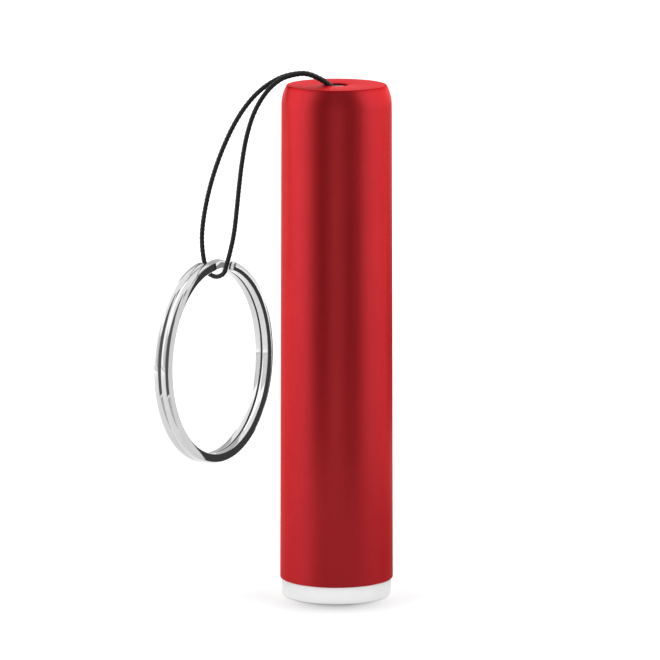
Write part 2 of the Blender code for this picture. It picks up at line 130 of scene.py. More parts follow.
def surface(
    name, colour, roughness, metallic=0.0, shade=0.06, patch=1.5, rough_spread=0.05, grain=0.25,
    relief=0.002, stretch=(1.0, 1.0, 1.0), **extra
):
    """A material whose colour, gloss and relief all vary a little.

    patch and grain are the sizes of the slow and the fine variation, relief is the fine one's depth, all in
    millimetres, and stretch squeezes or draws out the grain along each axis.
    """
    made, shader, node, link = new_material(name)
    spot = node("TexCoord").outputs["Object"]
    slow = spread(node, noise(node, spot, patch, 3.0), 0.0, 1.0)
    fine = noise(node, node("Mapping", {"Vector": spot, "Scale": stretch}).outputs["Vector"], grain)
    darker = [c * (1.0 - shade) for c in colour]
    lighter = [min(c * (1.0 + shade), 1.0) for c in colour]
    blend_colours(node, link, shader, slow, darker, lighter)
    link(spread(node, fine, roughness - rough_spread, roughness + rough_spread), shader.inputs["Roughness"])
    settle(shader, Metallic=metallic, **extra)
    if relief:
        raise_relief(node, link, shader, fine, relief)
    return made


# ---- mesh helpers


def show(obj):
    bpy.context.scene.collection.objects.link(obj)


def place(obj, body, look, node, slot):
    """Gives a new piece its body and its material or list of them, and hides the CAD node it replaces. Its
    slot is not used.
    """
    show(obj)
    for made in look if isinstance(look, list) else [look]:
        obj.data.materials.append(made)
    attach(obj, body)
    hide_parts(node)
    return obj


def mesh_of(name, form):
    mesh = bpy.data.meshes.new(name)
    form.to_mesh(mesh)
    form.free()
    return mesh


def staged(name, form, made):
    """A staging object of a form, such as the floor or a card."""
    mesh = mesh_of(name, form)
    mesh.materials.append(made)
    obj = bpy.data.objects.new(name, mesh)
    show(obj)
    return obj


def arc(centre, radius, start, end, count=6):
    """Points (radius, height) on an arc in the profile plane, from one angle to another in degrees."""
    turns = [radians(start + (end - start) * k / count) for k in range(count + 1)]
    return [(centre[0] + radius * cos(t), centre[1] + radius * sin(t)) for t in turns]


def revolve(form, profile, sides=96, look=0, centre=(0.0, 0.0)):
    """Adds a solid of revolution about Z. The (radius, height) profile runs down the outer side.

    A profile that ends on the axis is closed there by a single point.
    """
    rings = []
    for radius, height in profile:
        around = [TAU * k / sides for k in range(sides)] if radius > 0.0 else [0.0]
        spots = [(centre[0] + radius * cos(t), centre[1] + radius * sin(t)) for t in around]
        rings.append([form.verts.new((x * MM, y * MM, height * MM)) for x, y in spots])
    pairs = list(zip(rings, rings[1:]))
    if len(rings[0]) > 1 and len(rings[-1]) > 1:
        pairs.append((rings[-1], rings[0]))
    for upper, lower in pairs:
        if len(upper) == len(lower) == 1:
            continue
        for k in range(sides):
            n = (k + 1) % sides
            corners = [upper[k % len(upper)], lower[k % len(lower)]]
            corners += [lower[n % len(lower)], upper[n % len(upper)]]
            form.faces.new(list(dict.fromkeys(corners))).material_index = look
    return form


def sweep(form, path, frames, section, look=0):
    """Adds a solid whose closed section, in each frame's two axes, follows the path."""
    rings = []
    for k, (at, (side, up)) in enumerate(zip(path, frames)):
        shape = section(k) if callable(section) else section
        rings.append([form.verts.new(Vector(at + side * x + up * y) * MM) for x, y in shape])
    count = len(rings[0])
    for first, second in zip(rings, rings[1:]):
        for k in range(count):
            n = (k + 1) % count
            form.faces.new((first[k], first[n], second[n], second[k])).material_index = look
    form.faces.new(rings[0][::-1]).material_index = look
    form.faces.new(rings[-1]).material_index = look
    return form


def carried(path):
    """Frames along a path that turn as little as they can: (side, up) unit vectors at each point."""
    path = np.asarray(path, float)
    tangents = np.gradient(path, axis=0)
    tangents /= np.linalg.norm(tangents, axis=1)[:, None]
    start = (0.0, 0.0, 1.0) if abs(tangents[0][2]) < 0.9 else (1.0, 0.0, 0.0)
    side = np.cross(tangents[0], start)
    side /= np.linalg.norm(side)
    frames = []
    for tangent in tangents:
        side = side - tangent * (side @ tangent)
        side /= np.linalg.norm(side)
        frames.append((side, np.cross(tangent, side)))
    return frames


def rounded_section(half_x, half_y, right_edge, left_edge, count, between=0):
    """A rectangle with rounded corners, anticlockwise from the +X side.

    Its corners have one radius at +X and one at -X, and these two sides have some points between them.
    """
    points = []
    for corner, (sx, sy) in enumerate(((1, 1), (-1, 1), (-1, -1), (1, -1))):
        edge = right_edge if sx > 0 else left_edge
        centre = (sx * (half_x - edge), sy * (half_y - edge))
        points += arc(centre, edge, 90.0 * corner, 90.0 * corner + 90.0, count)
        if corner in (1, 3):
            steps = [1.0 - 2.0 * k / (between + 1) for k in range(1, between + 1)]
            points += [(sx * half_x, sy * (half_y - edge) * step) for step in steps]
    return points


def tube(form, path, radius, count=16, look=0):
    """Adds a round wire along a path."""
    path = np.asarray(path, float)
    circle = [(radius * cos(TAU * k / count), radius * sin(TAU * k / count)) for k in range(count)]
    return sweep(form, path, carried(path), circle, look)


def brick(form, size, centre, edge=0.1, look=0, segments=3):
    """Adds a box with rounded edges."""
    part = bmesh.new()
    bmesh.ops.create_cube(part, size=1.0)
    bmesh.ops.scale(part, vec=Vector(size), verts=part.verts)
    if edge:
        bmesh.ops.bevel(part, geom=part.edges[:], offset=edge, segments=segments, profile=0.5, affect="EDGES")
    copies = {v: form.verts.new((v.co + Vector(centre)) * MM) for v in part.verts}
    for face in part.faces:
        form.faces.new([copies[v] for v in face.verts]).material_index = look
    part.free()
    return form


def finished(name, form, sharp=35.0):
    """The mesh object of a form, shaded smooth except across edges sharper than this, in degrees."""
    bmesh.ops.recalc_face_normals(form, faces=form.faces[:])
    mesh = mesh_of(name, form)
    mesh.shade_smooth()
    mesh.set_sharp_from_angle(angle=radians(sharp))
    return bpy.data.objects.new(name, mesh)


def disc_profile(radius, low, high, edge):
    """The profile of a disc with bevelled edges."""
    side = [(radius - edge, high), (radius, high - edge), (radius, low + edge), (radius - edge, low)]
    return [(0.0, high)] + side + [(0.0, low)]


def ring_profile(inner, outer, low, high, edge):
    """The profile of a flat ring with bevelled edges."""
    side = [(outer - edge, high), (outer, high - edge), (outer, low + edge), (outer - edge, low)]
    return [(inner + edge, high)] + side + [(inner + edge, low), (inner, low + edge), (inner, high - edge)]


def turned(name, profile, sides=96, sharp=35.0):
    return finished(name, revolve(bmesh.new(), profile, sides), sharp)


def carve(obj, form):
    """Cuts a form out of obj, which isn't in the scene yet."""
    tool = finished("tool", form)
    show(tool)
    show(obj)
    cut = obj.modifiers.new("cut", "BOOLEAN")
    cut.operation = "DIFFERENCE"
    cut.solver = "EXACT"
    cut.object = tool
    bpy.context.view_layer.update()
    mesh = bpy.data.meshes.new_from_object(obj.evaluated_get(bpy.context.evaluated_depsgraph_get()))
    obj.modifiers.remove(cut)
    obj.data = mesh
    mesh.set_sharp_from_angle(angle=radians(35.0))
    bpy.data.objects.remove(tool)
    bpy.context.scene.collection.objects.unlink(obj)


# ---- camera, lights, floor

# Lengths are in metres in this section, but the floor's clear disc and its painted shadow are in millimetres.
CAMERA_PLACE = (-0.000955, -0.76936, 0.172415)
CAMERA_DOWN_DEG = 9.83
CAMERA_LENS = 293.257
FLOOR_SIZE = 3.0
FLOOR_GLOW_FROM, FLOOR_GLOW_TO = 0.2, 0.32
FLOOR_GLOW_NEAR, FLOOR_GLOW_FAR = 0.05, 0.25
FLOOR_WHITE = 0.98
# FLOOR_SHADE values set the painted shadow in front of the head: its grey, where it starts, how fast it fades
# and how narrow it is.
FLOOR_SHADE = 0.36
FLOOR_SHADE_START = 8.0
FLOOR_SHADE_FADE = 3.2
FLOOR_SHADE_NARROWNESS = 3.0
FLOOR_CLEAR = 7.66
SURROUND = 0.665
# Softboxes: name, place, target and size in metres, radiance.
BOX_LEFT = ("softbox_left", (-0.3, 0.03, 0.19), (0.0, 0.0, 0.1), (0.54, 0.42), 1.44)
BOX_RIGHT = ("softbox_right", (0.3, 0.03, 0.215), (0.0, 0.0, 0.1), (0.54, 0.4), 1.42)
BOX_BACK = ("softbox_back", (0.0, 0.85, 0.25), (0.0, 0.0, 0.07), (1.6, 0.5), 1.65)
BOX_HEAD = ("head_fill", (-0.05, -0.5, 0.12), (0.0, 0.0, 0.0), (0.5, 0.4), 2.6)
BOX_RING = ("ring_high", (-0.1, 0.0, 0.5), (-0.0177, 0.0, 0.035), (0.9, 0.9), 0.68)
# Upright cards bent round the Z axis: name, radius, two angles, two heights, grey.
FLAGS = (
    ("flag_left", 0.062, -46.0, -14.0, 0.011, 0.4, 0.15),
    ("flag_right", 0.062, 13.0, 49.0, 0.009, 0.4, 0.27),
)
SCREEN = ("screen_round_sleeve", 0.0088, -180.0, 180.0, 0.0028, 0.0765, 0.35)
# Cards on the floor: name, two angles, two distances from the Z axis, grey.
TABLE_CARDS = (
    ("card_on_table", -40.0, 150.0, 0.012, 0.075, 0.72),
    ("card_behind_right", 126.0, 172.0, 0.13, 0.36, 0.34),
)
TABLE_CARD_HEIGHT = 0.0005


def make_camera():
    data = bpy.data.cameras.new("camera")
    data.lens = CAMERA_LENS
    camera = bpy.data.objects.new("camera", data)
    camera.location = CAMERA_PLACE
    camera.rotation_euler = (radians(90.0 - CAMERA_DOWN_DEG), 0.0, 0.0)
    show(camera)
    bpy.context.scene.camera = camera


def panel(name, place_at, target, size, radiance):
    """A softbox: an area light of the given even brightness that faces the target."""
    data = bpy.data.lights.new(name, "AREA")
    data.shape = "RECTANGLE"
    data.size, data.size_y = size
    data.energy = radiance * math.pi * size[0] * size[1]
    light = bpy.data.objects.new(name, data)
    light.location = place_at
    light.rotation_euler = (Vector(target) - Vector(place_at)).to_track_quat("-Z", "Y").to_euler()
    light.visible_camera = False
    show(light)
    return light


def card(name, corners, grey):
    """A card seen only by reflections, and only from the side where its corners run anticlockwise.

    corners is a list of rows of points, with the same number of points in each row.
    """
    form = bmesh.new()
    rows = [[form.verts.new(point) for point in row] for row in corners]
    for lower, upper in zip(rows, rows[1:]):
        for (a, b), (c, d) in zip(zip(lower, lower[1:]), zip(upper, upper[1:])):
            form.faces.new((a, b, d, c))
    made, _, node, link = new_material(name)
    glow = node("Emission", {"Color": (grey, grey, grey, 1.0), "Strength": 1.0}).outputs["Emission"]
    clear_where(made, node, link, node("NewGeometry").outputs["Backfacing"], glow)
    sheet = staged(name, form, made)
    for ray in ("camera", "diffuse", "shadow", "transmission"):
        setattr(sheet, "visible_" + ray, False)
    return sheet


def bent_card(name, radius, start, end, low, high, grey, inward=True):
    """A card bent round the Z axis. Angles are in degrees from the camera's side, positive to the right."""
    turns = [radians(start + (end - start) * k / 24) for k in range(25)]
    if inward:
        turns.reverse()
    rows = [[(radius * sin(t), -radius * cos(t), z) for t in turns] for z in (low, high)]
    return card(name, rows, grey)


def table_card(name, start, end, near, far, grey):
    """A card just above the floor that dims its reflection. Its angles are as for bent_card."""
    turns = [radians(start + (end - start) * k / 32) for k in range(33)]
    rows = [[(r * sin(t), -r * cos(t), TABLE_CARD_HEIGHT) for t in turns] for r in (far, near)]
    card(name, rows, grey)


def make_floor():
    """A plain floor with a soft shadow painted into its colour in front of the head.

    It is clear from below, and clear right under the head, so that light reaches the lamp in a view from
    below. It glows a little, and more far away, where it would look grey in the views from other sides.
    """
    form = bmesh.new()
    bmesh.ops.create_grid(form, x_segments=8, y_segments=8, size=FLOOR_SIZE)
    made, shader, node, link = new_material("floor")
    spot = node("TexCoord").outputs["Object"]
    reach = node("VectorMath", {0: spot}, operation="LENGTH").outputs["Value"]
    # Painted shadow: the floor's colour darkens close in front of the head and fades with distance from it.
    away = calc(node, "SUBTRACT", reach, FLOOR_SHADE_START * MM)
    fade = calc(node, "EXPONENT", calc(node, "MULTIPLY", away, -1.0 / (FLOOR_SHADE_FADE * MM)))
    aside = calc(node, "DIVIDE", node("SeparateXYZ", {"Vector": spot}).outputs["Y"], reach)
    front = calc(node, "MULTIPLY", aside, -1.0, use_clamp=True)
    front = calc(node, "POWER", front, FLOOR_SHADE_NARROWNESS)
    shade = calc(node, "MULTIPLY", fade, front)
    blend_colours(node, link, shader, shade, (FLOOR_WHITE,) * 3, (FLOOR_SHADE,) * 3)
    settle(shader, Roughness=0.9, Specular_IOR_Level=0.0, Emission_Color=(1.0, 1.0, 1.0, 1.0))
    glow = ramp(node, reach, FLOOR_GLOW_FROM, FLOOR_GLOW_TO, FLOOR_GLOW_NEAR, FLOOR_GLOW_FAR)
    link(glow, shader.inputs["Emission Strength"])
    under = calc(node, "LESS_THAN", reach, FLOOR_CLEAR * MM)
    clear = calc(node, "MAXIMUM", under, node("NewGeometry").outputs["Backfacing"])
    clear_where(made, node, link, clear, shader.outputs["BSDF"])
    staged("floor", form, made)


def make_light():
    """The surround, the large softboxes and the cards. Returns the side softboxes and the back one."""
    world = bpy.data.worlds.new("studio")
    bpy.context.scene.world = world
    world.use_nodes = True
    background = world.node_tree.nodes["Background"]
    background.inputs["Color"].default_value = (1.0, 1.0, 1.0, 1.0)
    background.inputs["Strength"].default_value = SURROUND
    bpy.context.scene.view_settings.view_transform = "Standard"
    left, right, back = (panel(*box) for box in (BOX_LEFT, BOX_RIGHT, BOX_BACK))
    for flag in FLAGS:
        bent_card(*flag)
    for table in TABLE_CARDS:
        table_card(*table)
    return (left, right), back


def only_on(light, obj):
    """The light reaches this object alone."""
    lit = bpy.data.collections.new(light.name + "_lights")
    lit.objects.link(obj)
    light.light_linking.receiver_collection = lit


def keep_off(lights, *objects):
    """The lights leave these objects alone, and show in none of their reflections."""
    for light in lights:
        skipped = bpy.data.collections.new(light.name + "_skips")
        for obj in objects:
            skipped.objects.link(obj)
        for member in skipped.collection_objects:
            member.light_linking.link_state = "EXCLUDE"
        light.light_linking.receiver_collection = skipped


make_camera()
make_floor()
side_lights, back_light = make_light()


# ---- sleeve

TOTAL_HEIGHT = 75.0
MOUTH_Z = 2.6
MOUTH_RADIUS = 8.26
SHOULDER_RADIUS = 7.98
SHOULDER_HEIGHT = 2.95
SHOULDER_ARC = 6.0
TOP_EDGE = 0.25
RED_DEEP = (0.385, 0.0135, 0.0185)
RED_LIGHT = (0.4, 0.015, 0.02)
RED_TINT = (1.0, 0.125, 0.17, 1.0)
COAT_SIDE, COAT_TOP = 0.17, 0.055
WALL = 0.23
LIP_EDGE = 0.05
CORD_HOLE_RADIUS = 1.7
CORD_HOLE_EDGE = 0.12


def sleeve_radius(height):
    start = TOTAL_HEIGHT - SHOULDER_HEIGHT
    if height <= start:
        return MOUTH_RADIUS + (SHOULDER_RADIUS - MOUTH_RADIUS) * (height - MOUTH_Z) / (start - MOUTH_Z)
    return SHOULDER_RADIUS - SHOULDER_ARC + sqrt(SHOULDER_ARC**2 - (height - start) ** 2)


def red_anodised():
    made, shader, node, link = new_material("red_anodised")
    spot = node("TexCoord").outputs["Object"]
    drawn = node("Mapping", {"Vector": spot, "Scale": (1.0, 1.0, 0.02)}).outputs["Vector"]
    slow = spread(node, noise(node, spot, 9.0), 0.0, 1.0)
    blend_colours(node, link, shader, slow, RED_DEEP, RED_LIGHT)
    link(spread(node, noise(node, drawn, 0.25, 3.0), 0.42, 0.48), shader.inputs["Roughness"])
    raise_relief(node, link, shader, noise(node, spot, 0.09), 0.0008)
    settle(shader, Metallic=1.0, Specular_Tint=RED_TINT, Coat_Roughness=0.3)
    height = node("SeparateXYZ", {"Vector": spot}).outputs["Z"]
    coat = ramp(node, height, (TOTAL_HEIGHT - 0.6) * MM, (TOTAL_HEIGHT - 0.1) * MM, COAT_SIDE, COAT_TOP)
    link(coat, shader.inputs["Coat Weight"])
    return made


def make_sleeve():
    """The sleeve, whose top edge is rounded between the shoulder's arc and the flat top.

    The floor, the cord and the ring see a grey screen in the sleeve's place, so that no red falls on them.
    """
    start, ceiling = TOTAL_HEIGHT - SHOULDER_HEIGHT, TOTAL_HEIGHT - WALL
    axis_r = SHOULDER_RADIUS - SHOULDER_ARC
    edge_z = TOTAL_HEIGHT - TOP_EDGE
    edge_r = axis_r + sqrt((SHOULDER_ARC - TOP_EDGE) ** 2 - (edge_z - start) ** 2)
    lean = math.atan2(edge_z - start, edge_r - axis_r)
    crown = arc((edge_r, edge_z), TOP_EDGE, 90.0, math.degrees(lean), 8)[:-1]
    top = edge_z + TOP_EDGE * sin(lean)
    heights = [top + (start - top) * k / 24 for k in range(25)] + [60.0, 45.0, 30.0, 15.0]
    outer = [(sleeve_radius(z), z) for z in heights]
    lip = [(sleeve_radius(MOUTH_Z + LIP_EDGE), MOUTH_Z + LIP_EDGE)]
    lip += [(MOUTH_RADIUS - LIP_EDGE, MOUTH_Z), (MOUTH_RADIUS - WALL + LIP_EDGE, MOUTH_Z)]
    lip += [(MOUTH_RADIUS - WALL, MOUTH_Z + LIP_EDGE)]
    inner = [(radius - WALL, min(height, ceiling)) for radius, height in reversed(outer)]
    hole = [(CORD_HOLE_RADIUS, ceiling)]
    rim = (CORD_HOLE_RADIUS + CORD_HOLE_EDGE, TOTAL_HEIGHT - CORD_HOLE_EDGE)
    hole += arc(rim, CORD_HOLE_EDGE, 180.0, 90.0, 5)
    sleeve = turned("sleeve", crown + outer + lip + inner + hole, 192, 30.0)
    place(sleeve, "root", red_anodised(), "shell", "red_sleeve")
    screen = bent_card(*SCREEN, inward=False)
    screen.visible_diffuse = True


make_sleeve()


# ---- cord

CORD_DIAMETER = 0.72
# The route of the CAD model's cord, out of the hole, round under the ring and back into the hole.
CORD_ROUTE = (
    (-0.1, 0.42, 74.22), (-0.62, 0.42, 74.62), (-1.12, 0.42, 75.0), (-1.6, 0.42, 75.37),
    (-2.6, 0.42, 75.94), (-3.9, 0.43, 76.47), (-4.95, 0.44, 76.62), (-6.65, 0.46, 76.4),
    (-7.85, 0.48, 76.05), (-8.95, 0.52, 75.52), (-10.6, 0.6, 74.42), (-12.45, 0.7, 72.6),
    (-14.3, 0.78, 69.97), (-16.05, 0.86, 66.5), (-17.7, 0.93, 62.1), (-18.85, 0.98, 57.7),
    (-19.47, 1.02, 53.6), (-19.48, 1.03, 51.1), (-19.16, 1.0, 48.85), (-18.68, 0.72, 47.5),
    (-17.54, 0.06, 46.95), (-16.4, -0.6, 47.5), (-15.92, -0.88, 48.85), (-15.3, -0.9, 51.2),
    (-14.82, -0.9, 53.6), (-14.42, -0.88, 57.0), (-14.06, -0.84, 60.5), (-13.62, -0.78, 64.0),
    (-12.98, -0.7, 67.5), (-12.0, -0.62, 70.7), (-10.8, -0.56, 73.0), (-9.4, -0.52, 74.75),
    (-7.9, -0.48, 75.88), (-6.55, -0.46, 76.36), (-4.95, -0.44, 76.62), (-3.9, -0.43, 76.47),
    (-2.6, -0.42, 75.94), (-1.6, -0.42, 75.37), (-1.12, -0.42, 75.0), (-0.1, -0.42, 74.22),
)


def smooth_through(route, step):
    """Points a step apart on a centripetal Catmull-Rom curve through the route, as an array."""
    route = np.asarray(route, float)
    route = np.vstack([2 * route[0] - route[1], route, 2 * route[-1] - route[-2]])
    fine = []
    for points in zip(route, route[1:], route[2:], route[3:]):
        gaps = [np.linalg.norm(b - a) ** 0.5 for a, b in zip(points, points[1:])]
        knots = np.cumsum([0.0, *gaps])
        for t in np.linspace(knots[1], knots[2], 40, endpoint=False):
            a = [mixed(points[i], points[i + 1], knots[i], knots[i + 1], t) for i in range(3)]
            b = [mixed(a[i], a[i + 1], knots[i], knots[i + 2], t) for i in range(2)]
            fine.append(mixed(b[0], b[1], knots[1], knots[2], t))
    fine.append(route[-2])
    return evenly(np.array(fine), step)


def mixed(first, second, low, high, t):
    return first + (second - first) * (t - low) / (high - low)


def evenly(fine, step):
    """The polyline read again at even distances close to the step."""
    along = np.concatenate([[0.0], np.cumsum(np.linalg.norm(np.diff(fine, axis=0), axis=1))])
    at = np.linspace(0.0, along[-1], round(along[-1] / step) + 1)
    return np.stack([np.interp(at, along, fine[:, k]) for k in range(3)], axis=1)


def braid_height(turn, along, strands=4, pitch=2.5):
    """Relief of a round braid, from 0 to 1, at an angle and a distance along the cord in millimetres."""
    right = strands * turn / TAU + strands * along / pitch
    left = strands * turn / TAU - strands * along / pitch
    over = np.where((np.floor(right) + np.floor(left)) % 2 == 0, 1.0, -1.0)
    u, v = right % 1.0 - 0.5, left % 1.0 - 0.5
    crown_right = np.sqrt(np.clip(1.0 - (2.0 * u) ** 2 * 0.96, 0.0, 1.0))
    crown_left = np.sqrt(np.clip(1.0 - (2.0 * v) ** 2 * 0.96, 0.0, 1.0))
    lift_right = crown_right * (0.55 + 0.45 * over * np.cos(math.pi * v))
    lift_left = crown_left * (0.55 - 0.45 * over * np.cos(math.pi * u))
    return np.maximum(lift_right, lift_left)


def braided(form, path, diameter=CORD_DIAMETER, sides=32, depth=0.07):
    """Adds a braided cord along an evenly spaced path."""
    step = float(np.linalg.norm(path[1] - path[0]))
    turns = np.linspace(0.0, TAU, sides, endpoint=False)

    def section(k):
        radius = diameter / 2 - depth * (1.0 - braid_height(turns, k * step))
        return np.stack([radius * np.cos(turns), radius * np.sin(turns)], axis=1)

    return sweep(form, path, carried(path), section)


def make_cord():
    """The cord's piece, the points that it follows and its material."""
    fibre = dict(shade=0.25, patch=0.9, rough_spread=0.1, grain=0.05, relief=0.01)
    fuzz = dict(Sheen_Weight=0.08, Sheen_Roughness=0.4, Specular_IOR_Level=0.3)
    look = surface("black_cord", (0.007, 0.007, 0.0075), 0.6, **fibre, **fuzz)
    path = smooth_through(CORD_ROUTE, 0.05)
    cord = finished("cord_loop", braided(bmesh.new(), path), 60.0)
    place(cord, "cord_loop", look, "cord", "black_cord")
    return cord, path, look


cord, cord_path, cord_look = make_cord()


# ---- split ring

RING_CENTRE = np.array((-17.71, -1.0, 34.7))
RING_YAW_DEG = 60.0
RING_TILT_DEG = -1.64
RING_OUTER_RADIUS = 14.85
RING_WIRE_WIDTH = 1.46
RING_WIRE_HEIGHT = 1.21
RING_OUTER_EDGE = 0.08
RING_INNER_EDGE = 0.24
RING_OUTER_CROWN = 0.18
RING_CROWN_SHIFT = 0.1
RING_INNER_CROWN = 0.05
RING_TIP = 0.22
RING_PITCH = 1.235
RING_NEAR_END_DEG = 18.0
RING_FAR_END_DEG = -7.0
RING_CARD_DARK, RING_CARD_PALE = 0.07, 1.1
RING_BOX_DISTANCE = 0.1
RING_BOX_LOW, RING_BOX_HIGH = 0.031, 0.16
# Softboxes for the ring alone: name, the way to them and half the angle they take up, radiance.
RING_BOXES = (
    ("ring_left", -150.0, 14.0, 0.42),
    ("ring_behind_left", 158.0, 34.0, 1.1),
    ("ring_right", -14.0, 15.0, 0.9),
)


def ring_axes():
    """The ring's own axes: across its plane, up in its plane, and along its axis."""
    tilt, yaw = radians(90.0 + RING_TILT_DEG), radians(RING_YAW_DEG)
    across = np.array((cos(yaw), sin(yaw), 0.0))
    level = np.array((-sin(yaw), cos(yaw), 0.0))
    rise = np.array((0.0, 0.0, 1.0))
    up = level * cos(tilt) + rise * sin(tilt)
    return across, up, np.cross(across, up)


def wire_section(inset):
    """The flattened wire's section, anticlockwise. +X is away from the ring's centre, +Y along its axis."""
    half_x, half_y = RING_WIRE_WIDTH / 2 - inset, RING_WIRE_HEIGHT / 2 - inset
    edges = [max(edge - inset * 0.6, 0.02) for edge in (RING_OUTER_EDGE, RING_INNER_EDGE)]

    def crowned(x, y):
        crown, shift = (RING_OUTER_CROWN, RING_CROWN_SHIFT) if x > 0.0 else (RING_INNER_CROWN, 0.0)
        return x - crown * ((y + shift) / half_y) ** 2 * x / half_x, y

    return [crowned(x, y) for x, y in rounded_section(half_x, half_y, *edges, 6, 7)]


def make_ring():
    """Two turns of wire. It crosses from one layer to the other at the top, and its tips are rounded."""
    radius = RING_OUTER_RADIUS - RING_WIRE_WIDTH / 2
    start, end = RING_FAR_END_DEG, RING_NEAR_END_DEG - 720.0
    cross, landed = RING_NEAR_END_DEG - 360.0, RING_FAR_END_DEG - 360.0
    across, up, axis = ring_axes()
    tip = [math.degrees(d / radius) for d in (0.0, 0.01, 0.03, 0.07, 0.13, RING_TIP)]
    body = np.linspace(start - tip[-1], end + tip[-1], 1300)[1:-1]
    angles = [start - a for a in tip] + list(body) + [end + a for a in reversed(tip)]
    path, frames, insets = [], [], []
    for angle in angles:
        share = min(max((cross - angle) / (cross - landed), 0.0), 1.0)
        height = RING_PITCH * (share * share * (3.0 - 2.0 * share) - 0.5)
        out = across * sin(radians(angle)) + up * cos(radians(angle))
        path.append(RING_CENTRE + out * radius + axis * height)
        frames.append((out, axis))
        near = min(start - angle, angle - end) * math.pi / 180.0 * radius
        near = min(max(near, 0.0), RING_TIP)
        insets.append(RING_TIP - sqrt(RING_TIP**2 - (RING_TIP - near) ** 2))

    def section(k):
        return wire_section(insets[k])

    form = sweep(bmesh.new(), path, frames, section)
    wear = dict(shade=0.02, patch=2.0, rough_spread=0.015, grain=0.3, relief=0.0004)
    chrome = surface("chromed_wire", (0.56, 0.56, 0.565), 0.06, 1.0, **wear)
    ring = finished("ring_wire", form, 50.0)
    ring.visible_glossy = False
    return place(ring, "ring", chrome, "split_ring", "chromed_wire")


def make_ring_cards():
    """A dark card and a pale one between the ring and the sleeve, which the ring's near face shows.

    Each point of the near face shows the cards' point that is slip further across and drop lower. High up
    the dark card's right edge passes through the middle of the wire's image, so that the wire's outer part
    stays bright there.
    """
    slip, drop, gap = 5.16, 1.0, 4.2
    across, up, axis = ring_axes()

    def left_edge(height):
        return -3.6 + 2.7 * min(max((abs(height) - 10.5) / 4.0, 0.0), 1.0)

    def right_edge(height):
        radius = 14.05 + 1.5 * min(max(-height / 11.0, 0.0), 1.0)
        return slip + sqrt(max(radius**2 - (height + drop) ** 2, 0.0))

    def rows_between(edges):
        return [
            [tuple((RING_CENTRE + across * s + up * h + axis * gap) * MM) for s in (right, left)]
            for right, left, h in edges
        ]

    heights = (-24.0, -15.0, -13.0, -11.0, -9.0, -7.0, -5.0, -2.0, 1.0, 4.0)
    heights += (7.0, 9.0, 10.5, 11.6, 12.4, 13.0, 15.0)
    dark = [(right_edge(h) if h > -13.5 else 24.0, left_edge(h), h) for h in heights]
    pale = [(left_edge(h), -16.0, h) for h in heights]
    card("card_by_ring", rows_between(dark), RING_CARD_DARK)
    card("pale_card_by_ring", rows_between(pale), RING_CARD_PALE)


def light_ring():
    """Softboxes for the ring alone: some upright beside it, at angles in degrees from +X, and one above."""
    middle = Vector((RING_CENTRE[0] * MM, RING_CENTRE[1] * MM, (RING_BOX_LOW + RING_BOX_HIGH) / 2))
    for name, towards, half_angle, radiance in RING_BOXES:
        way = Vector((cos(radians(towards)), sin(radians(towards)), 0.0))
        width = 2.0 * RING_BOX_DISTANCE * math.tan(radians(half_angle))
        size = (width, RING_BOX_HIGH - RING_BOX_LOW)
        only_on(panel(name, middle + way * RING_BOX_DISTANCE, middle, size, radiance), split_ring)
    only_on(panel(*BOX_RING), split_ring)


split_ring = make_ring()
make_ring_cards()
light_ring()


# ---- push head and what it carries

HEAD_RADIUS = 7.98
HEAD_SHOULDER_Z = 5.0
NECK_RADIUS = 6.9
LIP_RADIUS = 7.4
LIP_Z = 9.4
HEAD_TOP_Z = 10.4
WINDOW_RADIUS = 5.6
HEAD_BORE = 6.15
INSERT_RADIUS = 6.08
FRONT_LIP = 0.8
GAP = 0.05
LEAD_X = 4.1


def make_head():
    profile = (
        arc((LIP_RADIUS - 0.25, HEAD_TOP_Z - 0.25), 0.25, 90.0, 0.0)
        + arc((LIP_RADIUS - 0.1, LIP_Z + 0.1), 0.1, 0.0, -90.0, 4)
        + [(NECK_RADIUS, LIP_Z), (NECK_RADIUS, HEAD_SHOULDER_Z)]
        + arc((HEAD_RADIUS - 0.15, HEAD_SHOULDER_Z - 0.15), 0.15, 90.0, 0.0, 5)
        + arc((HEAD_RADIUS - 0.3, 0.3), 0.3, 0.0, -90.0, 8)
        + arc((WINDOW_RADIUS + 0.25, 0.25), 0.25, -90.0, -180.0, 6)
        + [(WINDOW_RADIUS, FRONT_LIP), (HEAD_BORE, FRONT_LIP), (HEAD_BORE, HEAD_TOP_Z)]
    )
    moulded = dict(shade=0.012, patch=3.0, rough_spread=0.04, grain=0.12, relief=0.0015)
    inside = dict(Subsurface_Weight=0.6, Subsurface_Radius=(0.004, 0.004, 0.004), Subsurface_Scale=1.0)
    white = surface("white_translucent", (0.8, 0.797, 0.803), 0.38, **moulded, **inside)
    head = turned("push_head", profile, 192, 30.0)
    place(head, "head", white, "head_bezel", "white_head")
    only_on(panel(*BOX_HEAD), head)
    return head


def make_lens():
    low, high = FRONT_LIP + GAP, FRONT_LIP + GAP + 1.2
    polished = dict(shade=0.01, rough_spread=0.01, grain=0.5, relief=0.0)
    clear = surface("clear_lens", (0.97, 0.985, 0.98), 0.03, **polished, Transmission_Weight=1.0, IOR=1.49)
    lens = turned("front_lens", disc_profile(INSERT_RADIUS, low, high, 0.08), 128)
    place(lens, "head", clear, "lens", "clear_lens")
    wire = 0.27
    at, rise = INSERT_RADIUS - wire - GAP, high + GAP + wire
    turns = [TAU * k / 16 for k in range(16)]
    ring = [(at + wire * sin(turn), rise + wire * cos(turn)) for turn in turns]
    rubber = surface("black_rubber", (0.018, 0.018, 0.018), 0.6, shade=0.2, grain=0.1)
    place(turned("lens_seal", ring, 96, 80.0), "head", rubber, "lens_gasket", "black_rubber")


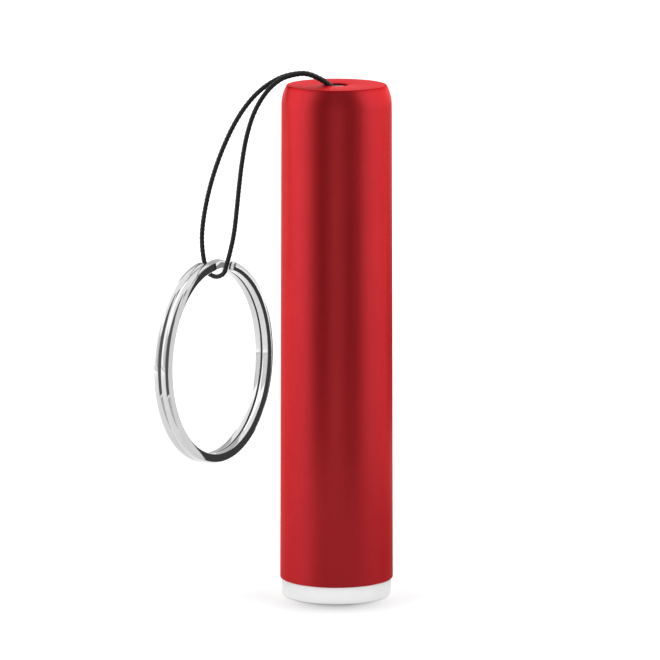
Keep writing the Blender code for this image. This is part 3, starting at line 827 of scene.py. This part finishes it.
def make_reflector():
    """A turned parabolic bowl with fine turning rings, a flange at its rim and a neck round the lamp."""
    rim_z, back_z, rim, throat, wall = 2.69, 8.6, 5.45, 1.75, 0.5
    four_focus = (rim**2 - throat**2) / (back_z - rim_z)
    radii = [rim + (throat - rim) * k / 40 for k in range(41)]
    bowl = [(radius, back_z - (radius**2 - throat**2) / four_focus) for radius in radii]
    flange = 0.6
    outside = [(radius + wall, height) for radius, height in reversed(bowl) if height > rim_z + flange]
    edge = [(outside[-1][0], rim_z + flange)]
    edge += disc_profile(INSERT_RADIUS, rim_z, rim_z + flange, 0.06)[1:-1]
    lathed = dict(shade=0.01, rough_spread=0.02, grain=0.35, relief=0.004, stretch=(0.2, 0.2, 1.0))
    mirror = surface("bright_reflector", (0.9, 0.9, 0.9), 0.06, 1.0, **lathed)
    bowl_obj = turned("reflector_bowl", outside + edge + bowl, 128, 40.0)
    place(bowl_obj, "head", mirror, "reflector", "bright_reflector")


def make_lamp():
    top, step, dome = 9.15, 8.65, 1.3
    form = revolve(bmesh.new(), disc_profile(1.7, step, top, 0.06), 64)
    brick(form, (1.5, 1.5, 0.06), (0.0, 0.0, step - 0.035), 0.01, look=1)
    bowl = arc((0.0, step - 0.07), dome - 0.07, 0.0, -90.0, 14)
    revolve(form, [(0.0, step - 0.07)] + bowl[:-1] + [(0.0, step - dome)], 64, look=2)
    ceramic = surface("lamp_ceramic", (0.86, 0.86, 0.84), 0.45, shade=0.02, grain=0.1)
    phosphor = surface("lamp_phosphor", (0.93, 0.72, 0.1), 0.5, shade=0.06, patch=0.2, grain=0.04)
    smooth = dict(shade=0.01, rough_spread=0.01, relief=0.0)
    silicone = surface("lamp_dome", (0.98, 0.97, 0.93), 0.04, **smooth, Transmission_Weight=1.0, IOR=1.41)
    lamp = finished("lamp", form, 40.0)
    place(lamp, "head", [ceramic, phosphor, silicone], "led", "lamp_phosphor")


def solder():
    return surface("solder", (0.72, 0.72, 0.73), 0.25, 1.0, shade=0.08, patch=0.3, grain=0.08)


def bead(form, x, y, z, radius, height, look):
    """A drop of solder on a board, or under it where the height is negative."""
    leans = [TAU / 4 * k / 6 for k in range(6)]
    side = [(radius * cos(a) ** 0.6, z + height * sin(a)) for a in leans]
    revolve(form, [(0.0, z + height)] + side[::-1] + [(0.0, z)], 24, look=look, centre=(x, y))


def make_lamp_board():
    top, low = 10.2, 9.2
    form = revolve(bmesh.new(), disc_profile(INSERT_RADIUS, low, top - 0.03, 0.05), 128)
    for side in (-1.0, 1.0):
        bead(form, LEAD_X * side, 0.0, top - 0.03, 0.62, 0.03, 1)
    mask = surface("lamp_board_mask", (0.8, 0.81, 0.8), 0.35, shade=0.02, grain=0.1)
    place(finished("lamp_board", form), "head", [mask, solder()], "led_board", "circuit_board")


keep_off(side_lights, split_ring, make_head())
keep_off([back_light], split_ring)
make_lens()
make_reflector()
make_lamp()
make_lamp_board()


# ---- springs, leads and the click switch

BOARD_FOOT = 16.55
LAMP_BOARD_TOP = 10.25


def spring_path(low, high, turns, wire_radius, low_radius, high_radius):
    """A compression spring's centre line, flat for half a turn at each end."""
    share = np.linspace(0.0, 1.0, round(turns * 40) + 1)
    rise = np.clip((share * turns - 0.5) / (turns - 1.0), 0.0, 1.0)
    rise = rise * rise * (3.0 - 2.0 * rise) * 0.35 + rise * 0.65
    radius = low_radius + (high_radius - low_radius) * rise
    angle = TAU * turns * share
    height = low + wire_radius + (high - low - 2.0 * wire_radius) * rise
    return np.stack([radius * np.cos(angle), radius * np.sin(angle), height], axis=1)


def squashed(obj):
    """Gives the piece its own copy of its mesh."""
    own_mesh(obj)


def make_springs(steel):
    low, high = LAMP_BOARD_TOP, BOARD_FOOT
    coil = spring_path(low, high, 4.5, 0.25, 5.35, 5.35)
    spring = finished("return_spring", tube(bmesh.new(), coil, 0.25, 14), 60.0)
    place(spring, "root", steel, "head_spring", "spring_steel")
    squashed(spring)
    low, high = 13.45, 15.85
    coil = spring_path(low, high, 3.0, 0.13, 1.15, 1.15)
    small = finished("click_spring", tube(bmesh.new(), coil, 0.13, 10), 60.0)
    place(small, "root", steel, "switch_spring", "spring_steel")
    squashed(small)


def make_leads():
    low, high = LAMP_BOARD_TOP, BOARD_FOOT
    middle = (low + high) / 2
    for name, node, side, colour in (
        ("lead_red", "lead_positive", 1.0, (0.55, 0.02, 0.02)),
        ("lead_black", "lead_negative", -1.0, (0.02, 0.02, 0.02)),
    ):
        stations = ((0.0, low), (0.0, low + 1.0), (0.6 * side, middle), (0.0, high - 1.0), (0.0, high))
        path = smooth_through([(LEAD_X * side, y, z) for y, z in stations], 0.15)
        form = tube(bmesh.new(), path[5:-5], 0.25, 14)
        tube(form, path[:7], 0.13, 10, look=1)
        tube(form, path[-7:], 0.13, 10, look=1)
        skin = surface(name, colour, 0.4, shade=0.08, grain=0.1)
        tin = surface(name + "_tin", (0.7, 0.7, 0.7), 0.3, 1.0, grain=0.05)
        lead = finished(name, form, 60.0)
        place(lead, "root", [skin, tin], node, "red_insulation" if side > 0 else "black_insulation")
        squashed(lead)


def black_plastic(name):
    return surface(name, (0.022, 0.022, 0.023), 0.48, shade=0.12, patch=2.5, grain=0.09, relief=0.003)


def make_switch(steel):
    foot, cap, top = 10.25, 10.85, 13.4
    profile = (
        [(0.0, top)]
        + arc((1.45 - 0.2, top - 0.2), 0.2, 90.0, 0.0)
        + [(1.45, cap + 0.1), (1.55, cap)]
        + arc((2.0 - 0.12, cap - 0.12), 0.12, 90.0, 0.0, 4)
        + arc((2.0 - 0.25, foot + 0.25), 0.25, 0.0, -90.0)
        + [(0.0, foot)]
    )
    ivory = surface("ivory_plastic", (0.72, 0.69, 0.58), 0.42, shade=0.03, grain=0.1)
    place(turned("click_button", profile, 64), "plunger", ivory, "switch_plunger", "ivory_plastic")
    low, high, side = 12.2, BOARD_FOOT, 6.0
    form = brick(bmesh.new(), (side, side, high - low - 0.25), (0.0, 0.0, (low + 0.25 + high) / 2), 0.22)
    plate = brick(bmesh.new(), (side - 0.3, side - 0.3, 0.22), (0.0, 0.0, low + 0.16), 0.07, look=1)
    for x in (-2.3, 2.3):
        for y in (-2.3, 2.3):
            bead(plate, x, y, low + 0.07, 0.42, -0.07, 1)
    bore = [(0.0, 15.9), (1.55, 15.9), (1.55, low - 1.0), (0.0, low - 1.0)]
    joined = bmesh.new()
    for solid in (form, plate):
        part = finished("click_part", solid)
        carve(part, revolve(bmesh.new(), bore, 64))
        joined.from_mesh(part.data)
        bpy.data.objects.remove(part)
    body = finished("click_body", joined)
    place(body, "root", [black_plastic("switch_plastic"), steel], "switch_body", "black_plastic")


def make_retaining_ring():
    outer, inner, low, high = 7.93, 6.95, 6.35, 9.35
    ring = turned("retaining_collar", ring_profile(inner, outer, low, high, 0.15), 128)
    notch = brick(bmesh.new(), (3.0, 1.6, 5.0), (0.0, (inner + outer) / 2, (low + high) / 2), 0.0)
    carve(ring, notch)
    place(ring, "root", black_plastic("collar_plastic"), "retaining_ring", "black_plastic")


steel_look = surface(
    "spring_steel", (0.56, 0.56, 0.58), 0.22, 1.0, shade=0.05, patch=0.8, grain=0.06, relief=0.0008
)
make_springs(steel_look)
make_leads()
make_switch(steel_look)
make_retaining_ring()


# ---- driver board


def make_board():
    low, high, radius = 16.6, 17.8, 7.0
    skin = 0.04
    form = revolve(bmesh.new(), disc_profile(radius, low + skin, high - skin, 0.06), 128)
    rim_out, rim_in = radius - 0.1, radius - 0.7
    rim = [(rim_out, high), (rim_out, high - skin), (rim_in, high - skin), (rim_in, high)]
    revolve(form, rim, 128, look=1)
    pads = [(0.0, 0.0, 1.9, 1.9), (-4.2, -1.35, 1.2, 0.6), (-4.2, 1.35, 1.2, 0.6)]
    pads += [(4.0 + 1.15 * x, 1.0 + 0.95 * y, 0.5, 0.5) for x in (-1, 1) for y in (-1, 0, 1)]
    pads += [(0.4 - 0.85, -4.2, 0.7, 1.3), (0.4 + 0.85, -4.2, 0.7, 1.3)]
    pads += [(2.6, -3.6, 0.8, 0.4), (2.6, -4.4, 0.8, 0.4), (-2.2, 3.8, 0.5, 0.9), (-1.2, 3.8, 0.5, 0.9)]
    for x, y, w, d in pads:
        brick(form, (w, d, 0.05), (x, y, high - 0.025), 0.01, look=1, segments=1)
    for side in (-1.0, 1.0):
        bead(form, LEAD_X * side, 0.0, low + skin, 0.6, -skin, 2)
    made, shader, node, link = new_material("board_mask")
    spot = node("TexCoord").outputs["Object"]
    cells = node("TexVoronoi", {"Vector": spot, "Scale": 1.0 / (1.6 * MM)}, feature="DISTANCE_TO_EDGE")
    trace = ramp(node, cells.outputs["Distance"], 0.05, 0.09, 1.0, 0.0)
    blend_colours(node, link, shader, trace, (0.01, 0.1, 0.042), (0.022, 0.16, 0.065))
    link(spread(node, noise(node, spot, 0.5), 0.28, 0.38), shader.inputs["Roughness"])
    raise_relief(node, link, shader, trace, 0.015)
    gold = surface("gold_pad", (0.83, 0.62, 0.27), 0.25, 1.0, shade=0.05, grain=0.08)
    board = finished("converter_board", form)
    place(board, "root", [made, gold, solder()], "driver_board", "circuit_board")


def make_inductor():
    x, z = -4.2, 17.85
    form = bmesh.new()
    drum = (
        [(0.0, z + 2.1)]
        + arc((1.6 - 0.1, z + 2.1 - 0.1), 0.1, 90.0, 0.0, 4)
        + [(1.6, z + 1.72), (1.55, z + 1.66), (1.0, z + 1.55)]
        + [(1.0, z + 0.55), (1.55, z + 0.44), (1.6, z + 0.38)]
        + arc((1.6 - 0.06, z + 0.06), 0.06, 0.0, -90.0, 4)
        + [(0.0, z)]
    )
    revolve(form, drum, 64, centre=(x, 0.0))
    t = np.linspace(0.0, 1.0, 200)
    turn = TAU * 4.0 * t
    for radius, first, rise in ((1.12, 0.66, t), (1.33, 0.72, 1.0 - t)):
        path = np.stack([x + radius * np.cos(turn), radius * np.sin(turn), z + first + 0.84 * rise], axis=1)
        tube(form, path, 0.105, 8, look=1)
    core = surface("ferrite", (0.07, 0.07, 0.075), 0.55, shade=0.15, patch=0.4, grain=0.05, relief=0.004)
    copper = surface("enamelled_copper", (0.62, 0.25, 0.1), 0.25, 1.0, shade=0.06, grain=0.06)
    place(finished("inductor", form), "root", [core, copper], "boost_inductor", "ferrite")


def make_chip():
    x, y, z = 4.0, 1.0, 17.85
    form = brick(bmesh.new(), (1.7, 3.0, 0.85), (x, y, z + 0.575), 0.09)
    mark = [(0.0, z + 1.0), (0.13, z + 1.0), (0.13, z + 0.985), (0.0, z + 0.985)]
    revolve(form, mark, 24, look=2, centre=(x - 0.55, y - 1.15))
    for side in (-1.0, 1.0):
        for row in (-1, 0, 1):
            outline = [(0.8, 0.5), (0.98, 0.5), (1.05, 0.45), (1.07, 0.12), (1.12, 0.065), (1.3, 0.06)]
            path = np.array([(x + side * a, y + 0.95 * row, z + h) for a, h in outline])
            across, up, lean = (np.array(way) for way in ((0, 1, 0), (0, 0, 1), (side * 0.7, 0, 0.7)))
            frames = [(across, up)] * 2 + [(across, lean)] * 3 + [(across, up)]
            flat = [(0.18, -0.05), (0.18, 0.05), (-0.18, 0.05), (-0.18, -0.05)]
            sweep(form, path, frames, flat, look=1)
    epoxy = surface("chip_epoxy", (0.018, 0.018, 0.02), 0.5, shade=0.1, grain=0.05, relief=0.003)
    tin = surface("chip_leg", (0.65, 0.65, 0.66), 0.28, 1.0, grain=0.05)
    dot = surface("chip_dot", (0.35, 0.35, 0.36), 0.6)
    place(finished("converter_chip", form), "root", [epoxy, tin, dot], "boost_chip", "chip_epoxy")


def make_capacitor():
    x, y, z = 0.4, -4.2, 17.85
    form = brick(bmesh.new(), (1.5, 1.17, 1.12), (x, y, z + 0.6), 0.06)
    for side in (-1.0, 1.0):
        brick(form, (0.42, 1.25, 1.2), (x + side * 0.79, y, z + 0.6), 0.1, look=1)
    tan = surface("capacitor_ceramic", (0.52, 0.38, 0.24), 0.5, shade=0.06, grain=0.05)
    tin = surface("capacitor_end", (0.7, 0.7, 0.7), 0.3, 1.0, grain=0.05)
    place(finished("filter_capacitor", form), "root", [tan, tin], "capacitor", "capacitor_ceramic")


def make_stud():
    low, floor, top = 17.85, 21.55, 21.95
    profile = (
        [(0.0, top)]
        + arc((2.75, top - 0.2), 0.2, 90.0, 30.0, 3)
        + [(3.0, top - 0.25), (3.0, floor), (1.6, floor), (1.6, low + 0.08), (1.52, low), (0.0, low)]
    )
    brass = surface("contact_brass", (0.8, 0.58, 0.24), 0.22, 1.0, shade=0.05, grain=0.08, relief=0.001)
    place(turned("cell_stud", profile, 96), "root", brass, "positive_contact", "contact_brass")
    return brass


make_board()
make_inductor()
make_chip()
make_capacitor()
brass_look = make_stud()


# ---- cell bay

CARRIER_RADIUS = 7.6


def make_carrier():
    top, skirt_low, skirt, step = 68.3, 11.9, 7.08, 17.9
    floor_low, floor_top, bore, eye = 20.5, 21.5, 5.45, 1.8
    edge = 0.12
    profile = (
        [(bore + edge, top), (CARRIER_RADIUS - edge, top), (CARRIER_RADIUS, top - edge)]
        + [(CARRIER_RADIUS, skirt_low + edge), (CARRIER_RADIUS - edge, skirt_low), (skirt, skirt_low)]
        + [(skirt, step), (6.5, step), (6.5, floor_low), (eye, floor_low), (eye, floor_top)]
        + [(bore, floor_top), (bore, top - edge)]
    )
    carrier = turned("cell_carrier", profile, 128)
    groove = brick(bmesh.new(), (2.0, 3.4, 60.0), (7.9, 0.0, 40.0), 0.0)
    carve(carrier, groove)
    place(carrier, "root", black_plastic("carrier_plastic"), "inner_carrier", "black_plastic")


def cell_jacket():
    """A printed film: blue, with a silver band at the nub's end and a thin light line beside it."""
    made, shader, node, link = new_material("cell_jacket")
    spot = node("TexCoord").outputs["Object"]
    height = node("SeparateXYZ", {"Vector": spot}).outputs["Z"]
    band = ramp(node, height, 31.9 * MM, 32.0 * MM, 1.0, 0.0)
    line_start = ramp(node, height, 33.0 * MM, 33.1 * MM, 0.0, 1.0)
    line = calc(node, "MULTIPLY", line_start, ramp(node, height, 33.5 * MM, 33.6 * MM, 1.0, 0.0))
    silver = calc(node, "MAXIMUM", band, line)
    blend_colours(node, link, shader, silver, (0.02, 0.06, 0.22), (0.7, 0.71, 0.73))
    film = noise(node, spot, 0.8)
    link(spread(node, film, 0.2, 0.3), shader.inputs["Roughness"])
    raise_relief(node, link, shader, film, 0.004)
    settle(shader, Metallic=0.6)
    return made


def make_cell(steel):
    low, top, radius, nub = 22.0, 66.5, 5.2, 22.9
    form = bmesh.new()
    can = (
        [(0.0, top - 0.15), (4.3, top - 0.15), (4.42, top - 0.02), (4.6, top)]
        + arc((radius - 0.3, top - 0.28), 0.25, 80.0, 0.0, 5)
        + [(radius - 0.05, nub + 0.5)]
        + arc((radius - 0.35, nub + 0.3), 0.3, 0.0, -90.0, 5)
        + [(3.4, nub), (3.3, nub + 0.12), (2.3, nub + 0.12), (2.1, nub)]
        + [(1.95, nub - 0.05), (1.9, nub - 0.15)]
        + arc((1.7, low + 0.2), 0.2, 0.0, -90.0, 5)
        + [(0.0, low)]
    )
    revolve(form, can, 128, look=1)
    film = (
        [(radius - 0.35, top), (radius - 0.1, top - 0.04), (radius, top - 0.2)]
        + [(radius, nub + 0.35), (radius - 0.06, nub + 0.12), (radius - 0.25, nub)]
        + [(radius - 0.25, nub + 0.03), (radius - 0.1, nub + 0.16), (radius - 0.04, nub + 0.35)]
        + [(radius - 0.04, top - 0.2), (radius - 0.14, top - 0.08), (radius - 0.35, top - 0.04)]
    )
    revolve(form, film, 128)
    place(finished("aaa_cell", form), "root", [cell_jacket(), steel], "battery", "cell_jacket")


def make_cell_contacts(steel, brass):
    coil = spring_path(66.35, 68.7, 3.5, 0.22, 3.2, 4.6)
    spring = finished("cell_spring", tube(bmesh.new(), coil, 0.22, 12), 60.0)
    place(spring, "root", steel, "negative_spring", "spring_steel")
    low, high, radius = 68.75, 69.05, 7.3
    profile = disc_profile(radius, low, high, 0.05)
    profile[-1:-1] = [(5.2, low), (5.1, low + 0.06), (2.8, low + 0.06), (2.7, low)]
    place(turned("end_plate", profile, 128), "root", brass, "negative_contact", "contact_brass")
    out, foot, thick, width, bend = 7.225, 68.575, 0.25, 3.0, 0.35
    corner = arc((out - bend, foot - bend), bend, 90.0, 0.0, 6)
    line = [(5.7, foot)] + corner + [(out, 50.0), (out, 30.0), (out, 16.7)]
    path = np.array([(x, 0.0, z) for x, z in line])
    ways = np.gradient(path, axis=0)
    ways /= np.linalg.norm(ways, axis=1)[:, None]
    across = np.array((0.0, 1.0, 0.0))
    frames = [(across, np.cross(way, across)) for way in ways]
    section = rounded_section(width / 2, thick / 2, 0.06, 0.06, 2)
    strip = finished("ground_spring_strip", sweep(bmesh.new(), path, frames, section))
    place(strip, "root", brass, "ground_strip", "contact_brass")


def make_anchor(steel):
    bottom, shoulder, top = 69.1, TOTAL_HEIGHT - SHOULDER_HEIGHT, 74.15
    pocket, pocket_z = 2.6, 70.6
    profile = (
        [(pocket + 0.2, top), (7.0, top), (7.12, top - 0.1)]
        + [(CARRIER_RADIUS, shoulder), (CARRIER_RADIUS, bottom + 0.3), (CARRIER_RADIUS - 0.3, bottom)]
        + [(0.0, bottom), (0.0, pocket_z), (pocket - 0.3, pocket_z), (pocket, pocket_z + 0.3)]
        + [(pocket, top - 0.2)]
    )
    plug = turned("cord_plug", profile, 128)
    place(plug, "root", black_plastic("plug_plastic"), "end_plug", "black_plastic")
    washer = turned("knot_washer", ring_profile(1.5, 3.4, 74.27, 74.67, 0.08), 96)
    place(washer, "cord_loop", steel, "cord_washer", "spring_steel")
    return washer


def make_knot():
    """An overhand knot in the doubled cord, with its two tails, under the washer."""
    t = np.linspace(0.0, TAU, 150)
    x = 0.36 * (np.sin(t) + 2.0 * np.sin(2.0 * t))
    y = 0.36 * (np.cos(t) - 2.0 * np.cos(2.0 * t))
    z = 72.55 - 0.42 * np.sin(3.0 * t)
    form = braided(bmesh.new(), evenly(np.stack([x, y, z], axis=1), 0.06), 0.62)
    for side in (-1.0, 1.0):
        rise = [(0.25, 0.5 * side, 72.9), (0.0, 0.42 * side, 73.5), (-0.05, 0.42 * side, 74.15)]
        braided(form, smooth_through(rise, 0.06), 0.66)
        tail = [(0.4, 0.3 * side, 72.2), (0.9, 0.7 * side, 71.6), (1.1, 0.9 * side, 71.0)]
        braided(form, smooth_through(tail, 0.06), 0.6)
    knot = finished("tied_knot", form, 60.0)
    place(knot, "cord_loop", cord_look, "cord_knot", "black_cord")
    return knot


make_carrier()
make_cell(steel_look)
make_cell_contacts(steel_look, brass_look)
cord_washer = make_anchor(steel_look)
cord_knot = make_knot()
